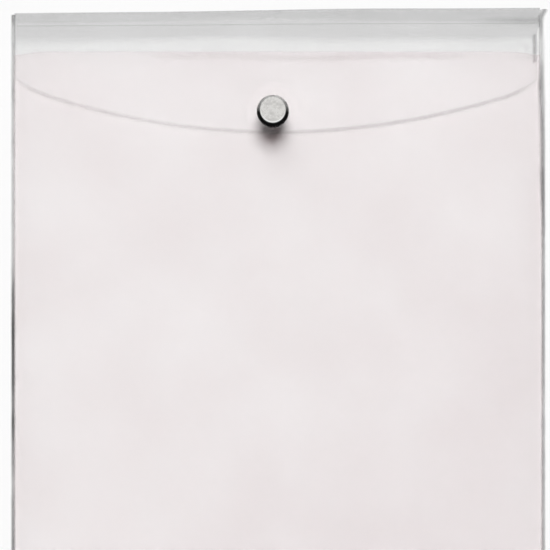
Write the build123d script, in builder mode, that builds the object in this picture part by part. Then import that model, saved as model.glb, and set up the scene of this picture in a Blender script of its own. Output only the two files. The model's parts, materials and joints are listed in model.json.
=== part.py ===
from build123d import *
from math import atan2, cos, degrees, hypot, radians, sin, sqrt, tan
import os

# Clear document wallet: a welded film pocket, a leaning spine strip and a flap with
# a curved edge that closes on a metal press stud. All sizes are in millimetres.
# The wallet lies on its back, with +Z up and +Y towards the fold of the flap.
# The origin is on the surface it lies on, under the middle of the wallet.

# Film body
wallet_width = 240.0  # across both weld beads
wallet_height = 325.0  # from the bottom fold to the top fold
film = 0.3  # thickness of the film
pocket_depth = 5.5  # clear height inside the pocket, under its crown
mouth_setback = 20.0  # from the top fold to the free edge of the front panel
weld_flange = 3.0  # flat margin where the two films are fused at the sides
fold_margin = 3.0  # flat margin where the two films lie together above the bottom fold
shoulder_rise = 40.0  # degrees, how steeply the front panel leaves its flat margins
pocket_corner = 20.0  # plan radius of the shoulder's foot at the two lower corners

# Weld beads along the two sides
bead_width = 1.3
bead_stand = 0.3  # how far a bead stands above the two fused films
bead_round = 0.5  # rounding of the bead's upper edges

# Spine strip and flap
spine_run = 15.0  # how far the leaning spine strip reaches over the pocket
spine_inset = 2.6  # the strip is this much narrower than the wallet at each end of the top fold
flap_taper = 2.4  # how far each end of the strip slants in towards the flap
flap_shift = -1.25  # the strip and flap are cut a little left of the middle
flap_depth = 56.8  # from the top fold to the lowest point of the curved edge
flap_edge_radius = 329.0  # of the curved lower edge, lowest at the wallet's middle
flap_corner_reach = 15.6  # how far in from its side each corner of the flap starts to turn up
flap_corner_rise = 8.2  # how far the corner has climbed where it meets the side
flap_corner_round = 2.0  # rounding of the point between corner and side
crease_gap = 0.1  # running gap beside the rounded edge of a crease

# Press stud: place, sheet and clearances
snap_x = -2.4  # the stud sits a little left of the middle
snap_margin = 9.4  # from the flap's curved edge, where it is lowest, up to the axis of the press stud
sheet = 0.4  # thickness of the pressed brass
rivet_gap = 0.05  # around a rivet barrel in its hole, and around the spring ring
snap_gap = 0.25  # between the stud's flange and the socket when closed
head_gap = 0.15  # between the stud's head and the rivet above it

# Press stud: cap and its rivet
cap_radius = 7.05
cap_height = 3.4
cap_edge_round = 1.5
cap_lip = 1.6  # how far the rolled rim reaches in under the cap
cap_foot_round = 0.25  # rounding of the rolled rim where it meets the flap
cap_barrel_radius = 1.75
cap_barrel_flare = 0.85  # how far the clinched end spreads beyond the barrel
cap_seat_gap = 0.2  # between the rolled rim and the step of the rivet
cap_seat_hold = 0.8  # how far the rivet's edge lies over the rolled rim

# Press stud: socket and its spring ring
socket_radius = 5.0
socket_round = 0.35
spring_wire = 0.6  # diameter of the spring ring's wire
spring_split = 50.0  # degrees, gap of the spring ring
spring_spread = 0.4  # room for the ring to open as the stud passes
ridge_height = 0.3  # ridge that keeps the spring ring in its groove
mouth_clearance = 0.15  # around the stud's head in the socket's mouth

# Press stud: stud and its rivet
stud_flange = 0.5  # thickness of the stud's flange
stud_radius = 4.6  # of the stud's flange
stud_round = 0.2
neck_radius = 2.15
head_bulge = 0.3  # how far the head stands out beyond the neck
head_height = 0.9
stud_barrel_radius = 1.4
stud_sink = 0.5  # depth and spread of the countersink on the stud's head

# One overrun serves every cut that has to pass right through
overrun = 5.0

# Heights above the surface that the wallet lies on
front_under = film + pocket_depth
front_top = front_under + film
socket_under = front_top + stud_flange + snap_gap
groove_low = socket_under + sheet
groove_high = groove_low + spring_wire + 2 * rivet_gap
head_top = groove_high + head_height
flare_under = head_top + head_gap
web_under = flare_under + sheet
flap_under = web_under + sheet
flap_top = flap_under + film

# Places along the wallet
top_fold = wallet_height / 2
mouth_y = top_fold - mouth_setback
snap_y = top_fold - flap_depth + snap_margin
fold_y = film - wallet_height / 2

# The two creases: each axis runs along X through the middle of the film
back_crease_y = top_fold - film / 2
back_crease_z = film / 2
flap_crease_y = back_crease_y - spine_run
flap_crease_z = flap_under + film / 2
spine_rise = flap_crease_z - back_crease_z
spine_length = hypot(spine_run, spine_rise)
spine_lean = degrees(atan2(spine_rise, spine_run))
spine_width = wallet_width - 2 * spine_inset
flap_width = spine_width - 2 * flap_taper
back_panel_end = back_crease_y - film / 2 / tan(radians(spine_lean / 2)) - crease_gap
flap_end = flap_crease_y - film / 2 - crease_gap

# Shoulder of the front panel: an arc from the flat margin up to the level crown
panel_half = wallet_width / 2 - bead_width
under_radius = pocket_depth / (1 - cos(radians(shoulder_rise)))
upper_radius = under_radius + film
under_reach = under_radius * sin(radians(shoulder_rise))
upper_reach = sqrt(upper_radius**2 - (upper_radius - pocket_depth) ** 2)
foot_half = panel_half - weld_flange
foot_y = fold_y + fold_margin
crown_half = foot_half - upper_reach
crown_y = foot_y + upper_reach


def pocket_line(half, low, radius):
    """A line in plan round the pocket, from its mouth down one side, across the bottom and up the other."""
    with BuildLine() as line:
        FilletPolyline((half, mouth_y), (half, low), (-half, low), (-half, mouth_y), radius=radius)
    return line.line


def snap_plane(level):
    """The plane in which a press stud piece's half section is drawn: radius along x, height along y."""
    return Plane(origin=(snap_x, snap_y, level), x_dir=(1, 0, 0), z_dir=(0, -1, 0))


snap_axis = Axis((snap_x, snap_y, 0), (0, 0, 1))
os.makedirs("parts", exist_ok=True)


# Front panel: flat margins, a shoulder rising to a level crown, and a hole for the stud's rivet
foot_line = pocket_line(foot_half, foot_y, pocket_corner)
crown_line = pocket_line(crown_half, crown_y, pocket_corner - upper_reach)
with BuildPart() as front_panel:
    with BuildSketch(Plane.XZ.offset(-mouth_y)):
        with BuildLine():
            Line((crown_half, front_top), (crown_half, front_under))
            TangentArc((crown_half, front_under), (crown_half + under_reach, film), tangent=(1, 0))
            Polyline((crown_half + under_reach, film), (foot_half, film), (foot_half, 2 * film))
            TangentArc((crown_half, front_top), (foot_half, 2 * film), tangent=(1, 0))
        make_face()
    sweep(path=foot_line)
    with BuildSketch(Plane.XY.offset(front_under)):
        with BuildLine():
            add(crown_line)
            Line((-crown_half, mouth_y), (crown_half, mouth_y))
        make_face()
    extrude(amount=film)
    with BuildSketch(Plane.XY.offset(film)):
        with BuildLine():
            add(foot_line)
            Polyline(
                (-foot_half, mouth_y),
                (-panel_half, mouth_y),
                (-panel_half, fold_y),
                (panel_half, fold_y),
                (panel_half, mouth_y),
                (foot_half, mouth_y),
            )
        make_face()
    extrude(amount=film)
    with Locations((snap_x, snap_y, front_top)):
        Hole(stud_barrel_radius + rivet_gap, depth=film + overrun)

# Bottom fold: the film turned right round from the back to the front and pressed flat
with BuildPart() as bottom_fold:
    with BuildSketch(Plane.YZ):
        with BuildLine():
            CenterArc((fold_y, film), film, 90, 180)
            Line((fold_y, 0), (fold_y, 2 * film))
        make_face()
    extrude(amount=panel_half, both=True)

# Back panel: the flat film that the wallet lies on
with BuildPart() as back_panel:
    with BuildSketch():
        with Locations((0, (back_panel_end + fold_y) / 2)):
            Rectangle(2 * panel_half, back_panel_end - fold_y)
    extrude(amount=film)

# Weld beads: the melted edge that closes each side, with its upper edges rounded
bead_parts = {}
for name, side in (("left_weld", -1), ("right_weld", 1)):
    with BuildPart() as weld_bead:
        with BuildSketch(Plane.XZ.offset(wallet_height / 2)) as bead_section:
            bead_height = 2 * film + bead_stand
            with Locations((side * (panel_half + bead_width / 2), bead_height / 2)):
                Rectangle(bead_width, bead_height)
            fillet(bead_section.vertices().group_by(Axis.Y)[-1], radius=bead_round)
        extrude(amount=-(wallet_height / 2 + back_panel_end))
    bead_parts[name] = weld_bead

# Spine strip: leans from the top fold up to the flap, with rounded creases and slanted ends
with BuildPart() as spine_strip:
    with BuildSketch(Plane.YZ):
        with Locations((back_crease_y - spine_run / 2, back_crease_z + spine_rise / 2)):
            SlotCenterToCenter(spine_length, film, rotation=-spine_lean)
    extrude(amount=wallet_width / 2, both=True)
    for side in (-1, 1):
        top_corner = (flap_shift + side * spine_width / 2, back_crease_y, 0)
        side_cut = Plane(origin=top_corner, z_dir=(side * spine_run, -flap_taper, 0))
        split(bisect_by=side_cut, keep=Keep.BOTTOM)

# Flap: level film with a curved lower edge, punched for the cap's rivet
with BuildPart() as flap_panel:
    with BuildSketch(Plane.XY.offset(flap_under)) as flap_outline:
        curve_low = top_fold - flap_depth
        curve_centre = curve_low + flap_edge_radius
        left_x = flap_shift - flap_width / 2
        right_x = flap_shift + flap_width / 2
        left_turn = left_x + flap_corner_reach
        right_turn = right_x - flap_corner_reach
        left_turn_y = curve_centre - sqrt(flap_edge_radius**2 - left_turn**2)
        right_turn_y = curve_centre - sqrt(flap_edge_radius**2 - right_turn**2)
        left_corner = (left_x, left_turn_y + flap_corner_rise)
        right_corner = (right_x, right_turn_y + flap_corner_rise)
        with BuildLine():
            edge = ThreePointArc((left_turn, left_turn_y), (0, curve_low), (right_turn, right_turn_y))
            TangentArc(edge @ 0, left_corner, tangent=-(edge % 0))
            TangentArc(edge @ 1, right_corner, tangent=edge % 1)
            Polyline(right_corner, (right_x, flap_end), (left_x, flap_end), left_corner)
        make_face()
        points = flap_outline.vertices().group_by(Axis.X)
        fillet([points[0].sort_by(Axis.Y)[0], points[-1].sort_by(Axis.Y)[0]], radius=flap_corner_round)
    extrude(amount=film)
    with Locations((snap_x, snap_y, flap_top)):
        Hole(cap_barrel_radius + rivet_gap, depth=film + overrun)

# Cap: pressed shell with a flat face, a rounded edge and a rim rolled in underneath
with BuildPart() as snap_cap:
    with BuildSketch(snap_plane(flap_top)) as cap_section:
        face_radius = cap_radius - cap_edge_round
        wall_top = cap_height - cap_edge_round
        with BuildLine():
            Line((0, cap_height), (face_radius, cap_height))
            TangentArc((face_radius, cap_height), (cap_radius, wall_top), tangent=(1, 0))
            Polyline(
                (cap_radius, wall_top),
                (cap_radius, 0),
                (cap_radius - cap_lip, 0),
                (cap_radius - cap_lip, sheet),
                (cap_radius - sheet, sheet),
                (cap_radius - sheet, wall_top),
            )
            TangentArc((cap_radius - sheet, wall_top), (face_radius, cap_height - sheet), tangent=(0, 1))
            Polyline((face_radius, cap_height - sheet), (0, cap_height - sheet), (0, cap_height))
        make_face()
        foot = cap_section.vertices().group_by(Axis.Y)[0].sort_by(Axis.X)[-1]
        fillet(foot, radius=cap_foot_round)
    revolve(axis=snap_axis)

# Cap rivet: a dished disc held by the cap's rim, with a barrel clinched under the socket
with BuildPart() as snap_cap_post:
    with BuildSketch(snap_plane(flap_top)):
        step_radius = cap_radius - cap_lip - cap_seat_gap
        rim_radius = cap_radius - cap_lip + cap_seat_hold
        rim_low = sheet + rivet_gap
        bore_radius = cap_barrel_radius - sheet
        flare_radius = cap_barrel_radius + cap_barrel_flare
        with BuildLine():
            Polyline(
                (bore_radius, flare_under - flap_top),
                (flare_radius, flare_under - flap_top),
                (flare_radius, web_under - flap_top),
                (cap_barrel_radius, web_under - flap_top),
                (cap_barrel_radius, 0),
                (step_radius, 0),
                (step_radius, rim_low),
                (rim_radius, rim_low),
                (rim_radius, rim_low + sheet),
                (step_radius - sheet, rim_low + sheet),
                (step_radius - sheet, sheet),
                (bore_radius, sheet),
                close=True,
            )
        make_face()
    revolve(axis=snap_axis)

# Socket: a cup under the flap, with a mouth for the stud and a groove for the spring ring
with BuildPart() as snap_socket:
    with BuildSketch(snap_plane(socket_under)) as socket_section:
        head_radius = neck_radius + head_bulge
        mouth_radius = head_radius + mouth_clearance
        ring_outer = neck_radius + rivet_gap + spring_wire
        groove_radius = ring_outer + spring_spread
        chamber_radius = cap_barrel_radius + cap_barrel_flare + spring_spread
        ridge_top = groove_high + ridge_height
        web_hole = cap_barrel_radius + rivet_gap
        with BuildLine():
            Polyline(
                (mouth_radius, 0),
                (socket_radius, 0),
                (socket_radius, flap_under - socket_under),
                (web_hole, flap_under - socket_under),
                (web_hole, web_under - socket_under),
                (chamber_radius, web_under - socket_under),
                (chamber_radius, ridge_top - socket_under),
                (mouth_radius, ridge_top - socket_under),
                (mouth_radius, groove_high - socket_under),
                (groove_radius, groove_high - socket_under),
                (groove_radius, groove_low - socket_under),
                (mouth_radius, groove_low - socket_under),
                close=True,
            )
        make_face()
        fillet(socket_section.vertices().group_by(Axis.X)[-1], radius=socket_round)
    revolve(axis=snap_axis)

# Spring ring: split wire ring that grips the stud's neck
with BuildPart() as snap_spring:
    with BuildSketch(snap_plane((groove_low + groove_high) / 2)):
        with Locations((neck_radius + rivet_gap + spring_wire / 2, 0)):
            Circle(spring_wire / 2)
    revolve(axis=snap_axis, revolution_arc=360 - spring_split)

# Stud: flange on the front panel, narrow neck and rounded head, countersunk on top
with BuildPart() as snap_stud:
    with BuildSketch(snap_plane(front_top)) as stud_section:
        neck_top = groove_high - front_top
        stud_height = head_top - front_top
        head_middle = neck_top + head_height / 2
        stud_hole = stud_barrel_radius + rivet_gap
        with BuildLine():
            Polyline(
                (neck_radius, neck_top),
                (neck_radius, stud_flange),
                (stud_radius, stud_flange),
                (stud_radius, 0),
                (stud_hole, 0),
                (stud_hole, stud_height - stud_sink),
                (stud_hole + stud_sink, stud_height),
                (neck_radius, stud_height),
            )
            ThreePointArc(
                (neck_radius, stud_height),
                (neck_radius + head_bulge, head_middle),
                (neck_radius, neck_top),
            )
        make_face()
        flange_edge = stud_section.vertices().group_by(Axis.X)[-1].sort_by(Axis.Y)[-1]
        fillet(flange_edge, radius=stud_round)
    revolve(axis=snap_axis)

# Stud rivet: a flat flange inside the pocket, with a barrel spread into the stud's countersink
with BuildPart() as snap_stud_post:
    with BuildSketch(snap_plane(front_under)):
        barrel_top = head_top - front_under
        sink_low = barrel_top - stud_sink
        barrel_bore = stud_barrel_radius - sheet
        with BuildLine():
            Polyline(
                (barrel_bore, -sheet),
                (stud_radius, -sheet),
                (stud_radius, 0),
                (stud_barrel_radius, 0),
                (stud_barrel_radius, sink_low),
                (stud_barrel_radius + stud_sink, barrel_top),
                (barrel_bore + stud_sink, barrel_top),
                (barrel_bore, sink_low),
                close=True,
            )
        make_face()
    revolve(axis=snap_axis)

wallet = {
    "back_panel": back_panel,
    "front_panel": front_panel,
    "bottom_fold": bottom_fold,
    **bead_parts,
    "spine_strip": spine_strip,
    "flap_panel": flap_panel,
    "snap_cap": snap_cap,
    "snap_cap_post": snap_cap_post,
    "snap_socket": snap_socket,
    "snap_spring": snap_spring,
    "snap_stud": snap_stud,
    "snap_stud_post": snap_stud_post,
}
for name, piece in wallet.items():
    piece.part.label = name
    export_step(piece.part, f"parts/{name}.step")

print(f"back crease at y {back_crease_y:.3f} z {back_crease_z:.3f}")
print(f"flap crease at y {flap_crease_y:.3f} z {flap_crease_z:.3f}, spine leans {spine_lean:.3f} degrees")
print(f"front panel top {front_top:.2f}, flap top {flap_top:.2f}, overall {flap_top + cap_height:.2f}")
print(f"crown half width {crown_half:.2f}, crown starts at y {crown_y:.2f}, mouth at y {mouth_y:.2f}")
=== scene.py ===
import bpy
import json
import numpy as np
from math import atan2, cos, hypot, pi, radians, sin, sqrt, tan
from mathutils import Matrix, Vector, noise


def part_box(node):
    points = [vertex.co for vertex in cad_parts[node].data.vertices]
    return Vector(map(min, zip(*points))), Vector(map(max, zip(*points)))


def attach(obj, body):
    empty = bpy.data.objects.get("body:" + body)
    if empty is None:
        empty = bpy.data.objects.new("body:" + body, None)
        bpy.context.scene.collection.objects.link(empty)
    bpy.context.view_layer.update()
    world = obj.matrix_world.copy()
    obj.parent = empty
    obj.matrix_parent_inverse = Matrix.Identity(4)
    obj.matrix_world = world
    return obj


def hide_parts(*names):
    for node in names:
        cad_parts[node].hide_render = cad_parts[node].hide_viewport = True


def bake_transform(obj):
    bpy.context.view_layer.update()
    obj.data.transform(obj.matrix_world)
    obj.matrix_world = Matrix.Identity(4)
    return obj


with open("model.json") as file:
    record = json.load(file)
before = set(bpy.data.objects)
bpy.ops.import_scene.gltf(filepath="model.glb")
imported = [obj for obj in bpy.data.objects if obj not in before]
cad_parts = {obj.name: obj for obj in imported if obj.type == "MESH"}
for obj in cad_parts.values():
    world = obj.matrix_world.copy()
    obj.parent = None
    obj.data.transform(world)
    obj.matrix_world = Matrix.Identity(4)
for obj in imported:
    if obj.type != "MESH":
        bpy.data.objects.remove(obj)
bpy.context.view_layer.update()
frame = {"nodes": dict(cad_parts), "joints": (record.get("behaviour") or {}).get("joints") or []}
mm = 0.001

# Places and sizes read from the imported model
crease = {j["name"]: Vector(j["pos_m"]) for j in frame["joints"]}
opening = {j["name"]: radians(j["range_deg"][1]) for j in frame["joints"]}
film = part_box("back_panel")[1].z
half_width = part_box("right_weld")[1].x
bead_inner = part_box("right_weld")[0].x
bead_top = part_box("right_weld")[1].z
bead_low_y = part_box("right_weld")[0].y
bead_high_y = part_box("right_weld")[1].y
fold_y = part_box("back_panel")[0].y
mouth_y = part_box("front_panel")[1].y
crown_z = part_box("front_panel")[1].z - film / 2
flap_low, flap_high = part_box("flap_panel")
flap_shift = (flap_low.x + flap_high.x) / 2
flap_half = (flap_high.x - flap_low.x) / 2
spine_low, spine_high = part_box("spine_strip")
spine_half = (spine_high.x - spine_low.x) / 2
snap_low, snap_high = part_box("snap_cap")
snap = (snap_low + snap_high) / 2
back_axis = crease["back_crease"]
flap_axis = crease["flap_crease"]

# Sizes that all the films share
second_layer = 1.5 * film
film_gap = 0.05 * mm
bead_overlap = 0.4 * mm
film_edge = bead_inner + bead_overlap
uv_per_metre = 10.0


def smoothstep(low, high, value):
    """0 below low, 1 above high, smooth between."""
    t = np.clip((np.asarray(value, float) - low) / (high - low), 0.0, 1.0)
    return t * t * (3.0 - 2.0 * t)


def plateau(rise, fall, value):
    """1 between two spans of places, falling smoothly to 0 across each of them."""
    return smoothstep(*rise, value) * (1.0 - smoothstep(*fall, value))


def hill(value, centre, reach):
    """A smooth hill: 1 at its centre, about a third at its reach, 0 far away."""
    return np.exp(-(((value - centre) / reach) ** 2))


def ripple(x, y, wavelength, seed):
    """Smooth noise between about -1 and 1, repeatable, for arrays of places in metres."""
    spots = [(a / wavelength, b / wavelength, seed) for a, b in zip(np.ravel(x), np.ravel(y))]
    return np.array([noise.noise(Vector(spot)) for spot in spots]).reshape(np.shape(x))


def wave(kind, x, y):
    """Noise of a kind, given by its strength, its wavelength and its seed."""
    strength, wavelength, seed = kind
    return strength * ripple(x, y, wavelength, seed)


def stops(first, *runs):
    """Rising values from the first one through several runs, each given as (end, count)."""
    values = [first]
    for end, count in runs:
        values += list(np.linspace(values[-1], end, count + 1)[1:])
    return np.array(values)


def both_ways(right):
    """Places from left to right, from those of the right half, which start at 0."""
    return np.concatenate([-right[:0:-1], right])


def from_snap(x, y):
    """Distance from the axis of the press stud, seen from above."""
    return np.hypot(x - snap.x, y - snap.y)


# Meshes
def unwrap(mesh, flat):
    """Gives each vertex of a mesh its flat place in the UV map."""
    layer = mesh.uv_layers.new(name="flat")
    corners = np.array([loop.vertex_index for loop in mesh.loops])
    layer.data.foreach_set("uv", (flat[corners] * uv_per_metre).astype(np.float32).ravel())


def set_greying(mesh, greys):
    """Gives each vertex of a mesh its greying, which the film materials read."""
    attribute = mesh.attributes.new("greying", "FLOAT", "POINT")
    attribute.data.foreach_set("value", np.asarray(greys, np.float32))


def add_piece(name, mesh):
    """Puts a mesh into the scene."""
    piece = bpy.data.objects.new(name, mesh)
    bpy.context.scene.collection.objects.link(piece)
    return piece


def shell(name, middle, flat, greys, second_from=None, thickness=film):
    """A closed sheet of film from a grid of points on its middle surface, with flat places for its UV map and
    a greying for its material: 0 is plain film, 1 is fully greyed film, greyed by creases, seams, edges and
    painted shade. Rows after second_from take a second material."""
    rows, columns = middle.shape[:2]
    along = np.gradient(middle, axis=0)
    across = np.gradient(middle, axis=1)
    normal = np.cross(across, along)
    normal /= np.linalg.norm(normal, axis=2, keepdims=True)
    upper = (middle + normal * thickness / 2).reshape(-1, 3)
    lower = (middle - normal * thickness / 2).reshape(-1, 3)
    index = np.arange(rows * columns).reshape(rows, columns)
    a, b = index[:-1, :-1].ravel(), index[:-1, 1:].ravel()
    c, d = index[1:, 1:].ravel(), index[1:, :-1].ravel()
    under = rows * columns
    faces = np.concatenate([np.stack([a, b, c, d], 1), np.stack([d, c, b, a], 1) + under]).tolist()
    border = np.concatenate([index[0, :], index[1:, -1], index[-1, -2::-1], index[-2:0:-1, 0]])
    following = np.roll(border, -1)
    faces += np.stack([following, border, border + under, following + under], 1).tolist()
    mesh = bpy.data.meshes.new(name)
    mesh.from_pydata(np.concatenate([upper, lower]).tolist(), [], faces)
    unwrap(mesh, np.tile(flat.reshape(-1, 2), (2, 1)))
    set_greying(mesh, np.tile(greys.ravel(), 2))
    if second_from is not None:
        for polygon in mesh.polygons:
            row = max(vertex % under for vertex in polygon.vertices) // columns
            polygon.material_index = 1 if row > second_from else 0
    rim = np.sort(np.stack([border, following], 1), 1)
    sharp = set(map(tuple, np.concatenate([rim, rim + under]).tolist()))
    mesh.shade_smooth()
    for edge in mesh.edges:
        if tuple(sorted(edge.vertices)) in sharp:
            edge.use_edge_sharp = True
    return add_piece(name, mesh)


def rings(count, sides):
    """The faces of a closed bar, made of a count of rings with as many points each as the bar has sides."""
    faces = []
    for i in range(count - 1):
        for j in range(sides):
            k = (j + 1) % sides
            faces.append([i * sides + j, i * sides + k, (i + 1) * sides + k, (i + 1) * sides + j])
    faces.append(list(range(sides))[::-1])
    faces.append([(count - 1) * sides + j for j in range(sides)])
    return faces


def tube(name, path, radius, sides=8):
    """A round bar along a line of points, closed at both ends."""
    heading = np.gradient(path, axis=0)
    heading /= np.linalg.norm(heading, axis=1, keepdims=True)
    side = np.cross(heading, (0.0, 0.0, 1.0))
    side /= np.linalg.norm(side, axis=1, keepdims=True)
    lift = np.cross(side, heading)
    turn = np.linspace(0.0, 2.0 * pi, sides, endpoint=False)
    length = np.concatenate([[0.0], np.cumsum(np.linalg.norm(np.diff(path, axis=0), axis=1))])
    points = np.stack([path + radius * (cos(t) * side + sin(t) * lift) for t in turn], 1).reshape(-1, 3)
    mesh = bpy.data.meshes.new(name)
    mesh.from_pydata(points.tolist(), [], rings(len(path), sides))
    unwrap(mesh, np.stack([np.tile(turn * radius, len(path)), np.repeat(length, sides)], 1))
    mesh.shade_smooth()
    return add_piece(name, mesh)


# Front film: a height field over the pocket, with the bottom fold turned under it
weld_flange = 3.0 * mm
fold_margin = 3.0 * mm
shoulder_rise = radians(40.0)
shoulder_soft = 1.4 * mm
shoulder_samples = 9
pocket_corner = 20.0 * mm
crown_lift = crown_z - second_layer
shoulder_radius = crown_lift / (1.0 - cos(shoulder_rise))
shoulder_reach = shoulder_radius * sin(shoulder_rise)
foot_half = bead_inner - weld_flange
foot_y = fold_y + fold_margin

# The right side of the real wallet is drawn in a little near its top, and its corner stands out again
pull_in = 1.1 * mm
pull_in_span = (105.0 * mm, 135.0 * mm)
corner_out = 1.4 * mm
corner_out_span = (159.5 * mm, 163.0 * mm)
pull_from_x = 60.0 * mm

# Soft waves of the front film, as strength, wavelength and seed, and the shares by which two are drawn out
front_wave = (0.42 * mm, 52.0 * mm, 3.1)
front_wave_share = 0.7
front_fine_wave = (0.12 * mm, 19.0 * mm, 8.7)
front_pucker = (0.16 * mm, 11.0 * mm, 5.3)
front_pucker_share = 0.4
pucker_rise = (0.0, 2.0 * mm)
pucker_fall = (5.0 * mm, 22.0 * mm)
front_calm = (9.0 * mm, 30.0 * mm)

# Greying of the front film: at the seams, below the mouth, towards the lower right, at the shoulder's foot
seam_left_grey = 0.4
seam_right_grey = 0.2
seam_soft = 0.6 * mm
lip_grey = 0.05
lip_middle_grey = 0.42
lip_right_grey = 0.20
lip_right_span = (-10.0 * mm, 35.0 * mm)
lip_rise = (-62.0 * mm, -42.0 * mm)
lip_fall = (68.0 * mm, 92.0 * mm)
lip_inset = 1.7 * mm
lip_sag = 1.1 * mm
lip_sag_x = 12.0 * mm
lip_sag_reach = 24.0 * mm
lip_soft = 1.6 * mm
shade_grey = 0.30
shade_span = (-40.0 * mm, 150.0 * mm)
foot_left_grey = 0.22
foot_right_grey = 0.08
foot_soft = 0.7 * mm

# Spacing of the front film's mesh, and the turn of the bottom fold
foot_step = 1.0 * mm
mouth_margin = 6.0 * mm
nose_radius = film / 2 + film_gap / 2
nose_rows = 7
nose_row_step = 0.08 * mm


def shoulder(inward):
    """Height of the front film above its flat margin, at a distance inward from the shoulder's foot."""
    total = 0.0
    for share in np.linspace(-1.0, 1.0, shoulder_samples):
        d = np.clip(inward + share * shoulder_soft, 0.0, shoulder_reach)
        arc = np.sqrt(shoulder_radius**2 - (shoulder_reach - d) ** 2)
        total = total + crown_lift - shoulder_radius + arc
    return total / shoulder_samples


def inside_foot(x, y):
    """Distance inward from the line where the shoulder leaves the flat margins."""
    out_x = np.abs(x) - (foot_half - pocket_corner)
    out_y = (foot_y + pocket_corner) - y
    outside = np.hypot(np.maximum(out_x, 0.0), np.maximum(out_y, 0.0)) - pocket_corner
    return -(outside + np.minimum(np.maximum(out_x, out_y), 0.0))


def pull(x, y):
    """How far a place moves to the right, for the drawn-in side and its corner."""
    sideways = corner_out * smoothstep(*corner_out_span, y) - pull_in * smoothstep(*pull_in_span, y)
    return sideways * smoothstep(pull_from_x, bead_inner, x)


def front_height(x, y):
    """Height of the front film's middle surface: flat margins, shoulder, and a crown with soft waves."""
    inward = inside_foot(x, y)
    level = smoothstep(0.0, shoulder_reach, inward)
    away = smoothstep(*front_calm, from_snap(x, y))
    waves = wave(front_wave, x, y * front_wave_share) + wave(front_fine_wave, x, y)
    pucker = wave(front_pucker, x * front_pucker_share, y) * plateau(pucker_rise, pucker_fall, inward)
    return second_layer + film_gap + shoulder(inward) + (waves * level + pucker) * away


def front_greying(x, y):
    """How grey the front film is at a place."""
    side = film_edge - np.abs(x)
    seam = np.where(x < 0.0, seam_left_grey, seam_right_grey) * np.exp(-side / seam_soft)
    lip_share = lip_middle_grey + lip_right_grey * smoothstep(*lip_right_span, x)
    lip_place = lip_inset + lip_sag * hill(x, lip_sag_x, lip_sag_reach)
    lip = (lip_grey + lip_share * plateau(lip_rise, lip_fall, x)) * hill(mouth_y - y, lip_place, lip_soft)
    shade = shade_grey * smoothstep(*shade_span, x - y)
    foot = np.where(x < 0.0, foot_left_grey, foot_right_grey) * hill(np.abs(x), foot_half, foot_soft)
    return np.clip(seam + lip + shade + foot, 0.0, 1.0)


def front_film():
    """The milky front sheet, from the nose of the bottom fold up to the mouth."""
    columns = both_ways(
        stops(0.0, (foot_half - shoulder_reach, 56), (foot_half + foot_step, 22), (film_edge, 6)))
    rows = stops(fold_y, (foot_y - foot_step, 4), (foot_y + shoulder_reach, 22),
                 (mouth_y - mouth_margin, 150), (mouth_y, 8))
    x, y = np.meshgrid(columns, rows)
    middle = np.stack([x + pull(x, y), y, front_height(x, y)], 2)
    flat = np.stack([x, y], 2)
    greys = front_greying(x, y)
    nose = []
    nose_flat = []
    for i, t in enumerate(np.linspace(-pi / 2, pi / 2, nose_rows + 1)[:-1]):
        level = film / 2 + nose_radius + nose_radius * sin(t)
        nose.append([(x, fold_y - nose_radius * cos(t), level) for x in columns])
        nose_flat.append([(x, fold_y - (nose_rows - i) * nose_row_step) for x in columns])
    middle = np.concatenate([nose, middle])
    flat = np.concatenate([nose_flat, flat])
    greys = np.concatenate([np.repeat(greys[:1], nose_rows, axis=0), greys])
    return shell("front_film", middle, flat, greys)


# The line that the back sheet, the spine strip and the flap follow, seen from the side
fold_radius = 0.45 * mm
crease_radius = 6.0 * mm
loop_y = back_axis.y - fold_radius
loop_z = back_axis.z + fold_radius


def strip_line():
    """The start of the straight run of the strip, and its lean from the level."""
    run = loop_y - flap_axis.y
    lift = flap_axis.z - loop_z
    reach = hypot(run, lift)
    lean = atan2(lift, run) - atan2(fold_radius, sqrt(reach**2 - fold_radius**2))
    start = Vector((0.0, loop_y + fold_radius * sin(lean), loop_z + fold_radius * cos(lean)))
    return start, lean


strip_start, strip_lean = strip_line()
bend_reach = crease_radius * tan(strip_lean / 2)
bend_y = flap_axis.y - bend_reach
strip_run = hypot(strip_start.y - flap_axis.y, flap_axis.z - strip_start.z)
strip_end = strip_run - bend_reach
strip_middle = 0.5 * strip_run
strip_reach_right = 1.6 * mm
strip_reach_shares = (0.45, 0.85)
strip_row_count = 14
score_line_shares = (0.30, 0.66, 0.93)
score_depth = 0.07 * mm
score_half = 0.35 * mm
score_row_count = 11

# Greying of the strip, partly its creased film and partly painted shade, the darker reflection of the tilted
# strip: dense from the top fold to a line across that wanders, then lighter
strip_grey = 1.02
dense_grey = 0.54
dense_end_share = 0.41
dense_lean_share = 0.05
dense_dip_share = 0.13
dense_dip_x = -8.0 * mm
dense_dip_reach = 48.0 * mm
dense_rise_share = 0.08
dense_fall_share = 0.06

# Where the grey gives out past the strip: later at the left, earlier at the right and left of the middle
ease_share = 0.84
ease_span = (0.88 * strip_run, strip_run + 3.4 * mm)
ease_far_share = 0.16
ease_far_span = (strip_run + 2.0 * mm, strip_run + 16.0 * mm)
late = 1.0 * mm
late_left_span = (-90.0 * mm, -65.0 * mm)
late_right_span = (92.0 * mm, 105.0 * mm)
early = 1.2 * mm
early_x = -22.0 * mm
early_reach = 22.0 * mm
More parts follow.
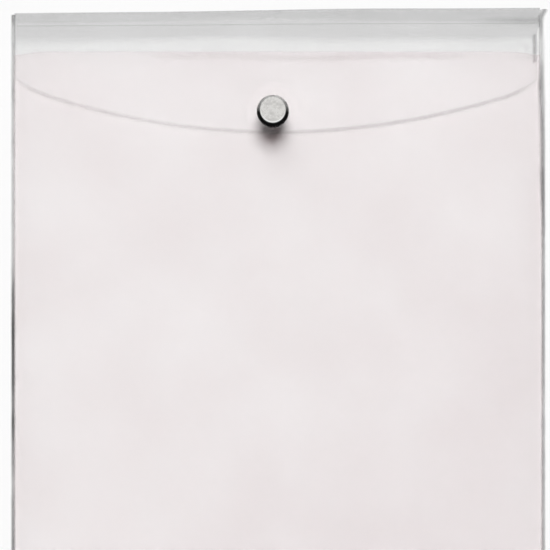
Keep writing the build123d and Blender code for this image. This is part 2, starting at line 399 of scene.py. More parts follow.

# Streaks along the strip, a crumple at its right, the dark edge at its right end and, beside it, painted
# glints: lighter and darker patches standing in for glints on small wrinkles
streak_wave = (1.0, 2.6 * mm, 41.0)
streak_length_share = 0.06
streak_grey = 0.10
streak_right_grey = 0.14
streak_right_span = (50.0 * mm, 112.0 * mm)
crumple_grey = 1.7
crumple_span = (84.0 * mm, 114.0 * mm)
crumple_share = 0.40
crumple_reach_share = 0.12
side_grey = 3.2
side_inset = 1.1 * mm
side_soft = 0.7 * mm
side_rise_shares = (0.80, 0.90)
side_fall = (strip_run + 9.5 * mm, strip_run + 11.5 * mm)
glint_wave = (0.7, 2.4 * mm, 61.0)
glint_span = (104.0 * mm, 108.0 * mm)
glint_rise_shares = (0.85, 1.0)
glint_fall = (strip_run + 9.0 * mm, strip_run + 15.0 * mm)

# The top fold of the real wallet isn't quite square: it rises towards the right, and bows a little
fold_skew = 0.0105
fold_bow = 0.5 * mm
fold_bow_x = 32.0 * mm
fold_bow_reach = 45.0 * mm
skew_span = (back_axis.y - 40.0 * mm, back_axis.y - 2.0 * mm)
skew_fall = (2.0 * mm, flap_axis.z - 0.5 * mm)

# Where the strip lies when it is folded open, and the height to which the fold is pressed flat
open_slope = tan(pi - opening["back_crease"])
open_spare = 0.03 * mm
open_soft = 0.20 * mm
fold_flat = 0.50 * mm

# Back film: its corners at the fold, its rows round the turn, the greying of the fold, and where it turns
back_corner = 1.2 * mm
loop_rows = 13
turn_reach = 2.6 * mm
turn_rows = 19
fold_grey_share = 1.15


def strip_rows(first, last):
    """Places along the strip, close together at its score lines."""
    marks = set(np.linspace(first, last, strip_row_count).tolist())
    for share in score_line_shares:
        centre = share * strip_run
        if first < centre < last:
            marks |= set((centre + np.linspace(-1.0, 1.0, score_row_count) * 2.0 * score_half).tolist())
    return sorted(m for m in marks if first <= m <= last)


def strip_point(s):
    """A point on the middle of the strip at a distance along it, with its score lines pressed in."""
    dent = sum(score_depth * hill(s, share * strip_run, score_half) for share in score_line_shares)
    y = strip_start.y - s * cos(strip_lean) - dent * sin(strip_lean)
    z = strip_start.z + s * sin(strip_lean) - dent * cos(strip_lean)
    return y, z


def strip_sides(s):
    """Left and right ends of the strip at a distance along it."""
    share = np.clip(s / strip_run, 0.0, 1.0)
    half = spine_half + (flap_half - spine_half) * share
    reach = strip_reach_right * (1.0 - smoothstep(*strip_reach_shares, share))
    return flap_shift - half, flap_shift + half + reach


def strip_crease_and_shade(x, s):
    """How grey the strip's film is at a distance along it, and past it on the flap: partly creased film and
    partly painted shade, with streaks, a crumple, a dark edge and painted glints.
    """
    share = s / strip_run
    along = np.full_like(x, s)
    dense_end = dense_end_share + dense_lean_share * x / half_width
    dense_end = dense_end - dense_dip_share * hill(x, dense_dip_x, dense_dip_reach)
    # The dense band by the top fold: painted shade, with the grey of the creased film
    base = 1.0 - smoothstep(dense_end - dense_rise_share, dense_end + dense_fall_share, share)
    base = strip_grey + dense_grey * base
    shift = late * (1.0 - smoothstep(*late_left_span, x)) - late * smoothstep(*late_right_span, x)
    end = s - shift + early * hill(x, early_x, early_reach)
    ease = 1.0 - ease_share * smoothstep(*ease_span, end) - ease_far_share * smoothstep(*ease_far_span, end)
    streak = streak_grey + streak_right_grey * smoothstep(*streak_right_span, x)
    streaks = 1.0 + streak * wave(streak_wave, streak_length_share * x, along)
    crumple = crumple_grey * smoothstep(*crumple_span, x) * hill(share, crumple_share, crumple_reach_share)
    side = side_grey * hill(strip_sides(s)[1] - side_inset, x, side_soft)
    side = side * smoothstep(*side_rise_shares, share) * (1.0 - smoothstep(*side_fall, s))
    # Painted glints: lighter patches where small wrinkles would catch the light
    glints = wave(glint_wave, x, along) * smoothstep(*glint_span, x)
    glints = glints * smoothstep(*glint_rise_shares, share) * (1.0 - smoothstep(*glint_fall, s))
    return base * ease * streaks + crumple + side + glints


def skew(grid):
    """Moves the points near the top fold along with its skew and bow. Where that takes the fold past the
    straight axis of its joint, the strip is also lowered, so that it clears the floor when it lies open."""
    rise = fold_skew * grid[..., 0] + fold_bow * hill(grid[..., 0], fold_bow_x, fold_bow_reach)
    fade = smoothstep(*skew_span, grid[..., 1]) * (1.0 - smoothstep(*skew_fall, grid[..., 2]))
    grid[..., 1] += rise * fade
    lying_open = back_axis.z - open_spare + open_slope * (back_axis.y - grid[..., 1])
    ceiling = np.maximum(lying_open, fold_flat)
    near = np.maximum(open_soft - np.abs(grid[..., 2] - ceiling), 0.0) / open_soft
    grid[..., 2] = np.minimum(grid[..., 2], ceiling) - near**2 * open_soft / 4


def back_film():
    """The back sheet, round the back crease and up the lower half of the strip."""
    shares = stops(0.0, (0.03, 6), (0.97, 110), (1.0, 6))
    strip_left, strip_right = strip_sides(0.0)
    rows = []
    flats = []
    greys = []

    def add_row(x, y, z, s, grey):
        """Adds a row across the film, with its place along the flat sheet and its greying."""
        rows.append(np.stack([x, np.full_like(x, y), np.full_like(x, z)], 1))
        flats.append(np.stack([x, np.full_like(x, s)], 1))
        greys.append(grey)

    for y in stops(fold_y, (loop_y - back_corner, 120), (loop_y, 6)):
        inset = max(0.0, (y - (loop_y - back_corner)) / back_corner)
        left = -film_edge + (strip_left + film_edge) * inset**2
        right = film_edge + (strip_right - film_edge) * inset**2
        x = left + (right - left) * shares
        add_row(x + pull(x, y), y, film / 2, y, np.zeros_like(x))
    panel_rows = len(rows)
    sweep = pi - strip_lean
    fold_x = strip_left + (strip_right - strip_left) * shares
    fold_grey = fold_grey_share * strip_crease_and_shade(fold_x, 0.0)
    for t in np.linspace(0.0, sweep, loop_rows + 1)[1:]:
        y = loop_y + fold_radius * sin(t)
        z = loop_z - fold_radius * cos(t)
        add_row(fold_x, y, z, loop_y + fold_radius * t, fold_grey)
    base = loop_y + fold_radius * sweep
    turning = np.linspace(0.0, turn_reach, turn_rows).tolist()
    for s in sorted(set(turning) | set(strip_rows(0.0, strip_middle)))[1:]:
        left, right = strip_sides(s)
        x = left + (right - left) * shares
        add_row(x, *strip_point(s), base + s, strip_crease_and_shade(x, s))
    grid = np.array(rows)
    skew(grid)
    return shell("back_film", grid, np.array(flats), np.array(greys), panel_rows - 1)


# Flap: its outline, whose lower edge is an arc centred on the wallet and not on the flap
flap_edge_radius = 329.0 * mm
flap_corner_reach = 15.6 * mm
flap_corner_rise = 8.2 * mm
flap_corner_round = 2.0 * mm
flap_edge_shift = -flap_shift
arc_centre_y = flap_low.y + flap_edge_radius
turn_x = flap_half - flap_corner_reach

# Soft waves of the flap, its curled cut edge and its drooping sides
flap_wave = (0.30 * mm, 38.0 * mm, 12.4)
flap_wave_share = 0.8
flap_fine_wave = (0.10 * mm, 14.0 * mm, 2.2)
flap_calm = (10.0 * mm, 34.0 * mm)
flap_settle = 24.0 * mm
flap_curl = 0.22 * mm
flap_curl_reach = 3.0 * mm
flap_droop = 0.9 * mm
flap_droop_span = (50.0 * mm, 114.0 * mm)

# Spacing of the flap's mesh, and the clear film round the press stud
side_margin = 3.0 * mm
side_step = 0.8 * mm
edge_margin = 3.0 * mm
edge_rows = [step * mm for step in (2.3, 1.7, 1.1, 0.6, 0.25, 0.0)]
flap_rows = 35
crease_rows = 11
stretched_grey = 0.8
stretched_span = (8.0 * mm, 15.0 * mm)

# The soft line along the flap's cut edge: a ribbon that is weaker at the sides and corners. It is partly the
# edge's own dark line and partly a painted soft shadow of the edge on the film beneath
rim_half = 2.1 * mm
rim_soft = 1.05 * mm
rim_thickness = 0.06 * mm
rim_crown = 0.10 * mm
rim_columns = 13
rim_side_rows = 11
rim_grey = 0.74
rim_right_grey = 0.46
rim_right_span = (-45.0 * mm, 45.0 * mm)
rim_right_side_grey = 0.30
rim_left_side_grey = 0.45
rim_corner = 12.0 * mm
rim_left_corner_share = 0.30
rim_right_corner_share = 0.75
rim_wander = (0.15, 16.0 * mm, 71.0)
rim_inset = 0.52 * mm
rim_inset_more = 0.30 * mm
rim_inset_more_span = (10.0 * mm, 35.0 * mm)
rim_inset_less = 0.45 * mm
rim_inset_less_span = (88.0 * mm, 108.0 * mm)

# The cut edge of the front sheet at the mouth
mouth_radius = 0.22 * mm
mouth_points = 160


def corner_arc(side):
    """The arc of a corner of the flap, on the right for 1 and the left for -1: its centre across and along,
    its radius, and where it meets the side. Places across are measured outward from the flap's middle."""
    centre = np.array([side * flap_edge_shift, arc_centre_y])
    turn = np.array([turn_x, arc_centre_y - sqrt(flap_edge_radius**2 - (turn_x - centre[0]) ** 2)])
    chord = np.array([flap_corner_reach, flap_corner_rise])
    inward = (centre - turn) / flap_edge_radius
    radius = chord @ chord / (2.0 * chord @ inward)
    return *(turn + radius * inward), radius, turn[1] + flap_corner_rise


def corner_y(x, side):
    """Where the outline of a corner, its point rounded, lies at a distance outward from the flap's middle."""
    across, along, radius, end = corner_arc(side)
    slope = np.arcsin((flap_half - across) / radius)
    spare = flap_corner_round * tan((pi / 2 - slope) / 2)
    arc = along - np.sqrt(np.maximum(radius**2 - (x - across) ** 2, 0.0))
    sweep = np.clip(x - flap_half + flap_corner_round, 0.0, flap_corner_round)
    point = end + spare - np.sqrt(flap_corner_round**2 - sweep**2)
    return np.where(x < flap_half - spare * cos(slope), arc, point)


def flap_edge_y(x):
    """Where the flap's outline lies at a place across, measured from the flap's middle."""
    out = np.abs(x)
    wide = arc_centre_y - np.sqrt(flap_edge_radius**2 - (x - flap_edge_shift) ** 2)
    corner = np.where(x < 0.0, corner_y(out, -1.0), corner_y(out, 1.0))
    return np.where(out <= turn_x, wide, corner)


def edge_distance(x, y):
    """Distance inward from the flap's outline, x measured from the flap's middle."""
    out = np.abs(x)
    wide = flap_edge_radius - np.hypot(x - flap_edge_shift, y - arc_centre_y)
    corner = 0.0
    for side in (-1.0, 1.0):
        across, along, radius = corner_arc(side)[:3]
        corner = corner + np.where(side * x > 0.0, radius - np.hypot(out - across, y - along), 0.0)
    return np.minimum(np.where(out <= turn_x, wide, corner), flap_half - out)


def flap_height(x, y):
    """Height of the flap's middle surface: level at the stud, with soft waves and a faintly curled edge."""
    away = smoothstep(*flap_calm, from_snap(x + flap_shift, y))
    below = smoothstep(0.0, flap_settle, bend_y - y)
    curl = flap_curl * np.clip(1.0 - edge_distance(x, y) / flap_curl_reach, 0.0, 1.0) ** 2
    droop = flap_droop * smoothstep(*flap_droop_span, np.abs(x))
    waves = wave(flap_wave, x, y * flap_wave_share) + wave(flap_fine_wave, x, y)
    return flap_axis.z + (curl + (waves - droop) * below) * away


def flap_columns():
    """Places across the flap, close together at its rounded corners and cut sides."""
    return both_ways(
        stops(0.0, (turn_x, 48), (flap_half - side_margin, 12), (flap_half - side_step, 5), (flap_half, 8)))


def flap_film():
    """The upper half of the strip, round the flap crease, and the flap down to its curved edge."""
    across = flap_columns()
    flap_x = flap_shift + across
    rows = []
    flats = []
    greys = []

    def add_row(x, y, z, s):
        """Adds a row across the film, at a distance along the strip and on past it."""
        rows.append(np.stack(np.broadcast_arrays(x, y, z), 1))
        flats.append(np.stack(np.broadcast_arrays(x, -s), 1))
        greys.append(strip_crease_and_shade(x, s))

    for s in strip_rows(strip_middle, strip_end):
        left, right = strip_sides(s)
        add_row((left + right) / 2 + (right - left) / 2 * (across / flap_half), *strip_point(s), s)
    for t in np.linspace(strip_lean, 0.0, crease_rows + 1)[1:]:
        y = bend_y + crease_radius * sin(t)
        z = flap_axis.z - crease_radius + crease_radius * cos(t)
        add_row(flap_x, y, z, strip_end + crease_radius * (strip_lean - t))
    base = strip_end + crease_radius * strip_lean
    edge = flap_edge_y(across)
    shares = np.linspace(0.0, 1.0, flap_rows + 1)[1:]
    lines = [bend_y + (edge + edge_margin - bend_y) * share for share in shares]
    lines += [edge + step for step in edge_rows]
    for y in lines:
        add_row(flap_x, y, flap_height(across, y), base + bend_y - y)
        greys[-1] = greys[-1] - stretched_grey * (1.0 - smoothstep(*stretched_span, from_snap(flap_x, y)))
    grid = np.array(rows)
    skew(grid)
    return shell("flap_film", grid[:, ::-1], np.array(flats)[:, ::-1], np.array(greys)[:, ::-1])


def flap_rim():
    """The soft cut edge of the flap, a thin ribbon along its outline from the right side to the left: the
    edge's own dark line, spread wider by a painted shadow of the edge.
    """
    bottom = flap_columns()[::-1]
    edge = flap_edge_y(bottom)
    right_side = np.linspace(bend_y, edge[0], rim_side_rows + 1)[:-1]
    left_side = np.linspace(edge[-1], bend_y, rim_side_rows + 1)[1:]
    across = np.concatenate([np.full_like(right_side, flap_half), bottom,
                             np.full_like(left_side, -flap_half)])
    line = np.stack([across, np.concatenate([right_side, edge, left_side])], 1)
    corner_share = np.where(bottom < 0.0, rim_left_corner_share, rim_right_corner_share)
    corner_fade = corner_share * smoothstep(flap_half - rim_corner, flap_half, np.abs(bottom))
    strength = (rim_grey + rim_right_grey * smoothstep(*rim_right_span, bottom)) * (1.0 - corner_fade)
    strength = np.concatenate([np.full_like(right_side, rim_right_side_grey), strength,
                               np.full_like(left_side, rim_left_side_grey)])
    step = np.gradient(line, axis=0)
    length = np.linalg.norm(step, axis=1, keepdims=True)
    heading = step / length
    offsets = np.linspace(-1.0, 1.0, rim_columns) * rim_half
    fall = 1.0 - (offsets / rim_half) ** 2
    x = line[:, :1] - heading[:, 1:] * offsets
    y = line[:, 1:] + heading[:, :1] * offsets
    level = flap_height(line[:, 0], line[:, 1])[:, None] + film / 2 + rim_crown * fall
    inset = rim_inset + rim_inset_more * smoothstep(*rim_inset_more_span, line[:, :1])
    inset = inset - rim_inset_less * smoothstep(*rim_inset_less_span, line[:, :1])
    wander = 1.0 + wave(rim_wander, line[:, 0], line[:, 1])
    # The edge's dark line, with a painted shadow of the edge in its soft spread
    greys = (strength * wander)[:, None] * hill(offsets, -inset, rim_soft) * fall
    grid = np.stack([x + flap_shift, y, level], 2)
    flat = np.stack(np.broadcast_arrays(offsets[None, :], np.cumsum(length)[:, None]), 2)
    return shell("flap_rim", grid, flat, greys, thickness=rim_thickness)


def mouth_rim():
    """The cut edge of the front sheet at the mouth."""
    x = np.linspace(-bead_inner, bead_inner, mouth_points)
    y = np.full_like(x, mouth_y)
    return tube("mouth_rim", np.stack([x + pull(x, y), y, front_height(x, y)], 1), mouth_radius)


# Side beads: a low ridge with a cloudy margin, whose size and tone wander along the seam. A kind of
# wandering is given by its strength, its place across the noise, its wavelength and its seed.
bead_soft = 0.60 * mm
bead_rows = 300
bead_columns = 9
bead_column_step = 0.2 * mm
bead_edge_share = 0.12
bead_plain_share = 0.55
bead_cloud_power = 1.2
bead_swell = (0.10, 0.3, 7.0 * mm, 20.0)
bead_fine_swell = (0.05, 0.1, 1.7 * mm, 31.0)
bead_mottle = (0.16, 0.2, 9.0 * mm, 50.0)

# The right bead swells at its top, and flares inward above its middle and outward higher up
top_swell_share = 0.4
top_swell_span = (157.0 * mm, 161.0 * mm)
flare_in = 0.9 * mm
flare_in_rise = (66.0 * mm, 90.0 * mm)
flare_in_fall = (126.0 * mm, 136.0 * mm)
flare_out = 0.8 * mm
flare_out_rise = (110.0 * mm, 124.0 * mm)
flare_out_fall = (145.0 * mm, 152.0 * mm)
flare_out_fall_share = 0.6

# Greying of the right bead, which is pressed above its middle and faint below its top
right_grey = 0.63
right_upper_grey = 0.07
right_upper_span = (-30.0 * mm, 30.0 * mm)
pressed_grey = 0.10
pressed_y = 85.0 * mm
pressed_reach = 20.0 * mm
eased_grey = 0.06
eased_span = (112.0 * mm, 124.0 * mm)
faint_grey = 0.18
faint_rise = (136.5 * mm, 141.5 * mm)
faint_fall = (148.0 * mm, 156.0 * mm)

# Greying of the left bead, which is darkest round its middle and has a knot in its upper part
left_grey = 0.52
deep_grey = 0.49
deep_low_share = 0.35
deep_rise = (-40.0 * mm, -28.0 * mm)
deep_fall = (25.0 * mm, 60.0 * mm)
knot_grey = 0.14
knot_y = 126.0 * mm
knot_reach = 5.0 * mm
tip_grey = 0.20
tip_span = (154.0 * mm, 159.0 * mm)
low_grey = 0.10
low_span = (-68.0 * mm, -54.0 * mm)


def along_seam(kind, y, sign):
    """Noise of a kind along a seam."""
    strength, across, wavelength, seed = kind
    return strength * ripple(np.full_like(y, across), y, wavelength, seed + sign)


def bead_greying(y, sign):
    """How grey a bead is along its length, the right one for 1 and the left one for -1."""
    if sign > 0.0:
        upper = right_upper_grey * smoothstep(*right_upper_span, y)
        pressed = pressed_grey * hill(y, pressed_y, pressed_reach) - eased_grey * smoothstep(*eased_span, y)
        return right_grey + upper + pressed - faint_grey * plateau(faint_rise, faint_fall, y)
    low_part = deep_low_share + (1.0 - deep_low_share) * smoothstep(*deep_rise, y)
    deep = deep_grey * low_part * (1.0 - smoothstep(*deep_fall, y))
    knot = knot_grey * hill(y, knot_y, knot_reach) + tip_grey * smoothstep(*tip_span, y)
    return left_grey + deep + knot + low_grey * (1.0 - smoothstep(*low_span, y))


def bead(name, sign):
    """A melted side bead, on the right for 1 and the left for -1: a ridge, cloudiest along its crest."""
    ys = np.linspace(bead_low_y, bead_high_y + sign * fold_skew * half_width, bead_rows)
    swell = 1.0 + along_seam(bead_swell, ys, sign) + along_seam(bead_fine_swell, ys, sign)
    tone = bead_greying(ys, sign) * (1.0 + along_seam(bead_mottle, ys, sign))
    inward = np.zeros_like(ys)
    outward = np.zeros_like(ys)
    if sign > 0.0:
        swell = swell + top_swell_share * smoothstep(*top_swell_span, ys)
        inward = flare_in * plateau(flare_in_rise, flare_in_fall, ys)
        outward = 1.0 - flare_out_fall_share * smoothstep(*flare_out_fall, ys)
        outward = flare_out * smoothstep(*flare_out_rise, ys) * outward
    across = np.linspace(0.0, 1.0, bead_columns)
    crest = np.sin(pi * across)
    under = np.zeros(bead_columns)
    shares = np.concatenate([across, across[::-1]])
    heights = np.concatenate([bead_edge_share + (1.0 - bead_edge_share) * crest, under])
    clouds = np.concatenate([crest**bead_cloud_power, under])
    inner = bead_inner - bead_soft
    width = half_width + bead_soft - inner
    x = inner + width * (0.5 + (shares - 0.5) * swell[:, None])
    x = sign * (x - inward[:, None] * (1.0 - shares) ** 2 + outward[:, None] * shares**2)
    y = np.broadcast_to(ys[:, None], x.shape)
    z = bead_top * heights * (bead_plain_share + (1.0 - bead_plain_share) * swell[:, None])
    points = np.stack([x + pull(x, y), y, z], 2).reshape(-1, 3)
    faces = rings(bead_rows, len(shares))
    mesh = bpy.data.meshes.new(name)
    mesh.from_pydata(points.tolist(), [], faces if sign > 0.0 else [face[::-1] for face in faces])
    unwrap(mesh, np.array([(j * bead_column_step, y) for y in ys for j in range(len(shares))]))
    set_greying(mesh, (tone[:, None] * clouds).ravel())
    mesh.shade_smooth()
    return add_piece(name, mesh)


# Materials
as_it_is = (1.0, 1.0, 1.0)
fine_dent = 0.02 * mm
coarse_dent = 0.03 * mm
noise_span = (0.3, 0.7)
wander_span = (0.38, 0.62)
film_ior = 1.3
grazing_power = 4.0
black = 0.004
# The cap's face is set off towards the top of the wallet, so that its side, painted dark as shade, reaches
# further in at the bottom
face_radius = 5.60 * mm
face_offset = 0.28 * mm
face_soft = 0.15 * mm
# A painted highlight along the lower edge of the cap's face
highlight_outer = 0.3 * mm
highlight_inner = 0.9 * mm
highlight_share = 0.85
highlight_low_share = 0.8
lit_top_span = (-0.12, 0.92)


def even(value):
    """A grey with no tint."""
    return (value, value, value)


def start(name):
    """A new node material, its tree and its Principled shader."""
    material = bpy.data.materials.new(name)
    material.use_nodes = True
    return material, material.node_tree, material.node_tree.nodes["Principled BSDF"]


def add(tree, kind, **values):
    """A node with its settings and its named inputs."""
    made = tree.nodes.new(kind)
    for key, value in values.items():
        name = key.replace("_", " ").title()
        if name in made.inputs:
            made.inputs[name].default_value = value
        else:
            setattr(made, key, value)
    return made


def feed(tree, socket, value):
    """Gives an input a value, or links another node's output to it."""
    if isinstance(value, bpy.types.NodeSocket):
        tree.links.new(value, socket)
    else:
        socket.default_value = value


def place(tree, output, stretch, shift=(0.0, 0.0, 0.0)):
    """Texture coordinates from a named output, stretched and then shifted."""
    coordinates = add(tree, "ShaderNodeTexCoord")
    mapping = add(tree, "ShaderNodeMapping", scale=stretch, location=shift)
    tree.links.new(coordinates.outputs[output], mapping.inputs["Vector"])
    return mapping.outputs["Vector"]


def speckle(tree, vector, scale, detail=3.0, roughness=0.55):
    """Noise along a vector."""
    made = add(tree, "ShaderNodeTexNoise", scale=scale, detail=detail, roughness=roughness)
    tree.links.new(vector, made.inputs["Vector"])
    return made.outputs["Fac"]


def ramp(tree, factor, *colours):
    """A colour ramp through (place, colour) pairs."""
    made = add(tree, "ShaderNodeValToRGB")
    elements = made.color_ramp.elements
    while len(elements) < len(colours):
        elements.new(0.5)
    for element, (spot, colour) in zip(elements, colours):
        element.position = spot
        element.color = (*colour, 1.0)
    tree.links.new(factor, made.inputs["Fac"])
    return made.outputs["Color"]


def span(tree, value, target, source=(0.0, 1.0), clamp=True):
    """A value carried from one range, its source, to another, its target."""
    made = add(tree, "ShaderNodeMapRange", from_min=source[0], from_max=source[1], to_min=target[0],
               to_max=target[1], clamp=clamp)
    tree.links.new(value, made.inputs["Value"])
    return made.outputs["Result"]


def between(tree, kind, factor, low, high):
    """A mix of two colours or two numbers, given as sockets or values."""
    made = add(tree, "ShaderNodeMix", data_type=kind)
    inputs, output = {"FLOAT": ((0, 2, 3), 0), "RGBA": ((0, 6, 7), 2)}[kind]
    for i, value in zip(inputs, (factor, low, high)):
        feed(tree, made.inputs[i], value)
    return made.outputs[output]


def reckon(tree, operation, first, second):
    """The result of an operation on two numbers, given as sockets or values."""
    made = add(tree, "ShaderNodeMath", operation=operation)
    feed(tree, made.inputs[0], first)
    feed(tree, made.inputs[1], second)
    return made.outputs["Value"]


def split(tree, vector):
    """The parts of a vector."""
    made = add(tree, "ShaderNodeSeparateXYZ")
    tree.links.new(vector, made.inputs["Vector"])
    return made.outputs


def roughen(tree, shader, height, strength, distance):
    """Dents the surface of a shader by a height."""
    bump = add(tree, "ShaderNodeBump", strength=strength, distance=distance)
    tree.links.new(height, bump.inputs["Height"])
    tree.links.new(bump.outputs["Normal"], shader.inputs["Normal"])


def see_through(tree, shader, solid, grazing):
    """Mixes the shader with clear air: solid is its share face on, grazing its share when seen edge on."""
    weight = add(tree, "ShaderNodeLayerWeight", blend=0.5)
    turned = reckon(tree, "POWER", weight.outputs["Facing"], grazing_power)
    clear = add(tree, "ShaderNodeBsdfTransparent")
    mix = add(tree, "ShaderNodeMixShader")
    tree.links.new(between(tree, "FLOAT", turned, solid, grazing), mix.inputs["Fac"])
    tree.links.new(clear.outputs["BSDF"], mix.inputs[1])
    tree.links.new(shader.outputs["BSDF"], mix.inputs[2])
    tree.links.new(mix.outputs["Shader"], tree.nodes["Material Output"].inputs["Surface"])


def film_material(name, tones, greyed, solid, grazing, gloss, scuffs):
    """Clear film: a haze of two tones that greys as the mesh's greying says, where the film is creased and
    where shade is painted, with fine scuffs. The two values of solid are for plain and for fully greyed film."""
    material, tree, shader = start(name)
    flat = place(tree, "UV", as_it_is)
    greying = add(tree, "ShaderNodeAttribute", attribute_name="greying").outputs["Fac"]
    plain = ramp(tree, speckle(tree, flat, scale=2.3), (0.35, tones[0]), (0.65, tones[1]))
    # Greyed film: creased film and painted shade
    tree.links.new(between(tree, "RGBA", greying, plain, (*greyed, 1.0)), shader.inputs["Base Color"])
    fine = speckle(tree, flat, scale=60.0)
    tree.links.new(span(tree, fine, gloss, noise_span), shader.inputs["Roughness"])
    shader.inputs["IOR"].default_value = film_ior
    scuff = speckle(tree, place(tree, "UV", (1.0, 14.0, 1.0)), scale=9.0, roughness=0.65)
    roughen(tree, shader, scuff, scuffs, fine_dent)
    see_through(tree, shader, span(tree, greying, solid, clamp=False), grazing)
    return material


def edge_material(name, tones, solid, grazing, scale, from_mesh=False):
    """A cut or melted edge of film: cloudy grey, its tone wandering along the edge. How solid it is follows
    that tone, or the greying of the mesh."""
    material, tree, shader = start(name)
    wander = speckle(tree, place(tree, "UV", (0.0, 1.0, 0.0)), scale, detail=2.0)
    tone = ramp(tree, wander, (wander_span[0], tones[0]), (wander_span[1], tones[1]))
    tree.links.new(tone, shader.inputs["Base Color"])
    fine = speckle(tree, place(tree, "UV", (20.0, 20.0, 1.0)), scale=12.0)
    tree.links.new(span(tree, fine, (0.16, 0.36), noise_span), shader.inputs["Roughness"])
    roughen(tree, shader, fine, 0.4, coarse_dent)
    if from_mesh:
        greying = add(tree, "ShaderNodeAttribute", attribute_name="greying").outputs["Fac"]
        share = span(tree, greying, solid)
    else:
        share = span(tree, wander, solid, wander_span)
    see_through(tree, shader, share, grazing)
    return material


def metal_material(name, dark, light, gloss):
    """Plated metal with fine speckle."""
    material, tree, shader = start(name)
    grain = speckle(tree, place(tree, "Object", as_it_is), scale=2600.0, detail=4.0)
    tree.links.new(ramp(tree, grain, (0.35, dark), (0.65, light)), shader.inputs["Base Color"])
    shader.inputs["Metallic"].default_value = 1.0
    tree.links.new(span(tree, grain, gloss, noise_span), shader.inputs["Roughness"])
    roughen(tree, shader, grain, 0.15, fine_dent)
    return material


def cap_material():
    """The cap: a satin mottled nickel face with a painted highlight along its lower edge, and a rounded side
    painted near black as shade, reaching further in towards the bottom of the wallet. Towards its top the
    side is painted lighter, where the light falls on it."""
    material, tree, shader = start("cap_nickel")
    grain = speckle(tree, place(tree, "Object", as_it_is), scale=420.0, detail=4.0, roughness=0.62)
    from_axis = place(tree, "Object", (1.0, 1.0, 0.0), (-snap.x, -snap.y - face_offset, 0.0))
    length = add(tree, "ShaderNodeVectorMath", operation="LENGTH")
    tree.links.new(from_axis, length.inputs[0])
    away = length.outputs["Value"]
    face = span(tree, away, (1.0, 0.0), (face_radius - face_soft, face_radius + face_soft))
    # Painted highlight: a bright band inside the face's lower edge
    border = span(tree, away, (0.0, 1.0), (face_radius - highlight_inner, face_radius - highlight_outer))
    highlight_low = -highlight_low_share * face_radius
    low = span(tree, split(tree, from_axis)["Y"], (highlight_share, 0.0), (highlight_low, 0.0))
    edge_highlight = reckon(tree, "MULTIPLY", border, low)
    normal = split(tree, add(tree, "ShaderNodeTexCoord").outputs["Normal"])
    level = add(tree, "ShaderNodeCombineXYZ")
    tree.links.new(normal["X"], level.inputs["X"])
    tree.links.new(normal["Y"], level.inputs["Y"])
    heading = add(tree, "ShaderNodeVectorMath", operation="NORMALIZE")
    tree.links.new(level.outputs["Vector"], heading.inputs[0])
    # Painted light: the side is lighter towards the top of the wallet, where the light falls, and near black
    # elsewhere as painted shade
    lit_top = span(tree, split(tree, heading.outputs["Vector"])["Y"], (0.0, 1.0), lit_top_span)
    bright = ramp(tree, grain, (0.36, (0.57, 0.56, 0.545)), (0.50, (0.67, 0.66, 0.64)),
                  (0.62, (0.74, 0.73, 0.71)))
    bright = between(tree, "RGBA", edge_highlight, bright, (0.86, 0.86, 0.85, 1.0))
    shaded_side = ramp(tree, grain, (0.35, even(black)), (0.7, even(3.0 * black)))
    lit_side = ramp(tree, grain, (0.40, (0.40, 0.40, 0.39)), (0.60, (0.53, 0.53, 0.52)))
    side = between(tree, "RGBA", lit_top, shaded_side, lit_side)
    tree.links.new(between(tree, "RGBA", face, side, bright), shader.inputs["Base Color"])
    shader.inputs["Metallic"].default_value = 1.0
    tree.links.new(span(tree, grain, (0.18, 0.32), noise_span), shader.inputs["Roughness"])
    roughen(tree, shader, grain, 0.2, coarse_dent)
    return material


clear_film = film_material("clear_film", tones=(even(0.64), even(0.70)), greyed=even(0.06),
                           solid=(0.05, 0.11), grazing=0.85, gloss=(0.10, 0.2), scuffs=0.2)
back_clear = film_material("back_film", tones=(even(0.285), even(0.345)), greyed=even(0.10),
                           solid=(0.21, 0.21), grazing=0.85, gloss=(0.10, 0.2), scuffs=0.2)
milky_film = film_material("milky_film", tones=((0.745, 0.59, 0.60), (0.745, 0.63, 0.64)),
                           greyed=(0.40, 0.25, 0.27), solid=(0.125, 0.21), grazing=0.9, gloss=(0.14, 0.26),
                           scuffs=0.3)
cut_edge_and_shadow = film_material("cut_edge_and_shadow", tones=((0.16, 0.15, 0.15), (0.22, 0.21, 0.21)),
                         greyed=(0.12, 0.11, 0.11), solid=(0.0, 0.14), grazing=0.05, gloss=(0.16, 0.36),
                         scuffs=0.3)
mouth_edge = edge_material("mouth_edge", tones=((0.40, 0.36, 0.36), (0.50, 0.45, 0.45)), solid=(0.01, 0.02),
                           grazing=0.3, scale=6.0)
weld = edge_material("weld", tones=(even(0.05), even(0.12)), solid=(0.0, 1.0), grazing=0.35, scale=3.2,
                     from_mesh=True)
nickel = metal_material("nickel", dark=(0.58, 0.57, 0.55), light=(0.74, 0.73, 0.71), gloss=(0.24, 0.42))
bronze = metal_material("bronze", dark=(0.50, 0.36, 0.20), light=(0.66, 0.50, 0.30), gloss=(0.25, 0.4))


# Pieces
def dress(piece, slot_name, *materials):
    """Gives a film piece its materials; the slot name it is given is not used. Film lets light through and
    throws no shadow.
    """
    for material in materials:
        piece.data.materials.append(material)
    piece.visible_shadow = False
    return piece


front = dress(front_film(), "clear_film", milky_film)
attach(front, "pocket")
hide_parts("front_panel", "bottom_fold")

mouth = dress(mouth_rim(), "clear_film", mouth_edge)
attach(mouth, "pocket")

back = dress(back_film(), "clear_film", back_clear, clear_film)
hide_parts("back_panel")
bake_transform(back)

flap = dress(flap_film(), "clear_film", clear_film)
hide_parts("spine_strip", "flap_panel")
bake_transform(flap)

rim = dress(flap_rim(), "clear_film", cut_edge_and_shadow)
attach(rim, "flap")

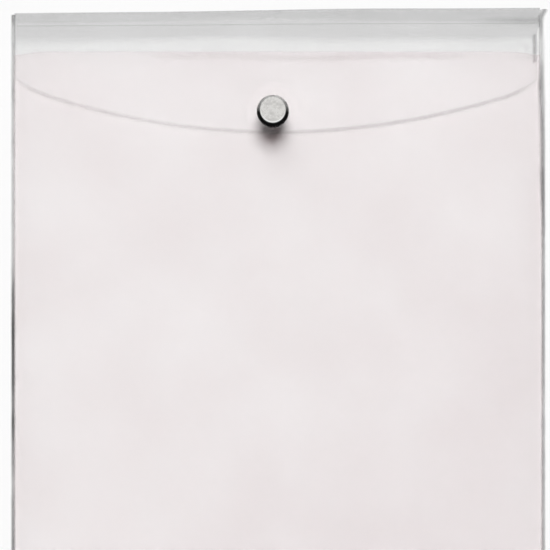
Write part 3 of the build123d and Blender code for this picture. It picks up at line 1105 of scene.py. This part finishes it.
for bead_name, bead_sign, node in (("right_bead", 1.0, "right_weld"), ("left_bead", -1.0, "left_weld")):
    side_bead = dress(bead(bead_name, bead_sign), "weld_bead", weld)
    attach(side_bead, "pocket")
    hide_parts(node)

metals = {node: nickel for node in ("snap_cap_post", "snap_socket", "snap_stud", "snap_stud_post")}
metals["snap_cap"] = cap_material()
metals["snap_spring"] = bronze
for node, material in metals.items():
    frame["nodes"][node].data.materials.clear()
    frame["nodes"][node].data.materials.append(material)

# Floor
floor_half = 4.0
floor_drop = 0.05 * mm
floor_corners = [(x * floor_half, y * floor_half, 0.0) for x, y in ((-1, -1), (1, -1), (1, 1), (-1, 1))]
floor_mesh = bpy.data.meshes.new("floor")
floor_mesh.from_pydata(floor_corners, [], [(0, 1, 2, 3)])
floor = add_piece("floor", floor_mesh)
floor.location.z = -floor_drop
paper, _, paper_shader = start("floor_paper")
paper_shader.inputs["Base Color"].default_value = (*even(0.97), 1.0)
paper_shader.inputs["Roughness"].default_value = 0.9
paper_shader.inputs["Specular IOR Level"].default_value = 0.0
floor.data.materials.append(paper)

# World: a pale backdrop for what is seen, mirrored or seen through film, and a weak dome for diffuse light
world = bpy.data.worlds.new("studio")
bpy.context.scene.world = world
world.use_nodes = True
sky = world.node_tree
upward = split(sky, add(sky, "ShaderNodeTexCoord").outputs["Generated"])
bottom_side = ramp(sky, upward["Z"], (0.0, even(0.98)), (0.10, even(0.94)), (0.5, even(0.60)))
fold_side = ramp(sky, upward["Z"], (0.0, even(0.98)), (0.5, even(0.90)), (0.9, even(1.0)))
towards_fold = span(sky, upward["Y"], (0.0, 1.0), (-0.15, 0.15))
backdrop = between(sky, "RGBA", towards_fold, bottom_side, fold_side)
rays = add(sky, "ShaderNodeLightPath").outputs
mirrored = reckon(sky, "MAXIMUM", rays["Is Glossy Ray"], rays["Is Transmission Ray"])
seen = reckon(sky, "MAXIMUM", rays["Is Camera Ray"], mirrored)
dome = (*even(0.015), 1.0)
sky.links.new(between(sky, "RGBA", seen, dome, backdrop), sky.nodes["Background"].inputs["Color"])

# Lamps: name, strength, and in degrees the angle that each fills, its tilt from above and its turn
lamps = (("key", 3.09, 34.0, 31.0, -6.0), ("fill", 0.75, 34.0, 56.0, 14.0))
for lamp_name, energy, size, tilt, turn in lamps:
    lamp = bpy.data.lights.new(lamp_name, "SUN")
    lamp.energy = energy
    lamp.angle = radians(size)
    lamp_object = bpy.data.objects.new(lamp_name, lamp)
    lamp_object.rotation_euler = (radians(-tilt), 0.0, radians(turn))
    lamp_object.visible_glossy = False
    bpy.context.scene.collection.objects.link(lamp_object)

# Camera: straight above the part of the wallet that the photo shows
camera_x = -1.465 * mm
camera_y = 43.40 * mm
camera_height = 0.400
view_width = 0.2480
scene = bpy.context.scene
scene.view_settings.view_transform = "Standard"
scene.cycles.transparent_max_bounces = 32
camera_data = bpy.data.cameras.new("camera")
camera_data.lens = camera_data.sensor_width * camera_height / view_width
camera = bpy.data.objects.new("camera", camera_data)
camera.location = (camera_x, camera_y, camera_height)
scene.collection.objects.link(camera)
scene.camera = camera

bpy.context.view_layer.update()
